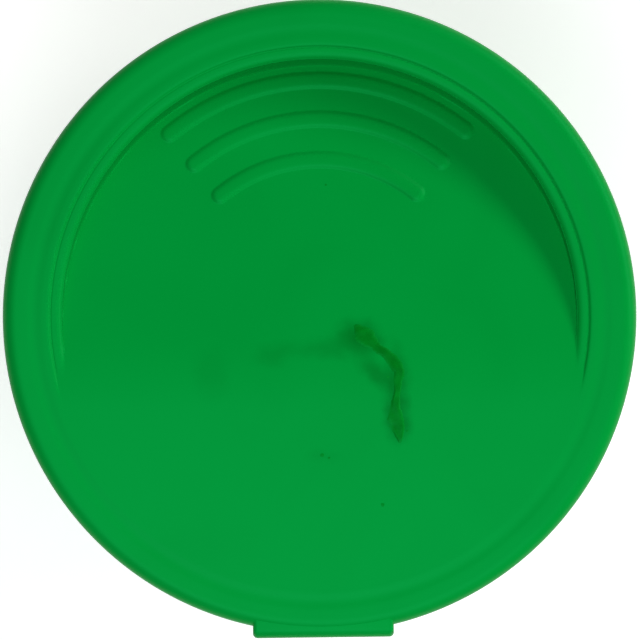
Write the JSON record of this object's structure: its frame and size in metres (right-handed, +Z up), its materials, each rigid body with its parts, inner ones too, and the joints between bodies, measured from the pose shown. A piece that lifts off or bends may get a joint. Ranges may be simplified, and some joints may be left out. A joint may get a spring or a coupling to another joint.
{
  "type": "flip-top paint jar",
  "caption": "Small round craft paint jar: translucent cup, press-on collar and living-hinge lid with a scooped, ridged thumb recess.",
  "frame": {"origin": "on the cup's axis, in the plane that the pot stands on", "axes": "+Z up along the cup's axis; -Y towards the hinge, +Y towards the side where the lid opens"},
  "size_m": [0.034, 0.0343, 0.0358],
  "materials": {
    "natural_cup": "natural polypropylene, moulded satin, cloudy",
    "green_closure": "green polypropylene, moulded semi-gloss",
    "seal": "soft natural polyethylene",
    "paint": "wet acrylic paint, glossy",
    "label_film": "coated film, semi-gloss",
    "dried_paint": "dried acrylic paint, satin"
  },
  "bodies": {
    "pot": {"pot_cup": "natural_cup", "collar": "green_closure", "hinge_strap": "green_closure", "paint_fill": "paint", "wrap_label": "label_film"},
    "flip_lid": {"lid": "green_closure", "plug_seal": "seal", "dried_streak": "dried_paint"}
  },
  "joints": [
    {"name": "lid_hinge", "type": "hinge", "parent": "pot", "child": "flip_lid", "pos_m": [0, -0.017, 0.02985], "axis": [1, 0, 0], "range_deg": [0, 180], "deforming": ["hinge_strap"]}
  ]
}
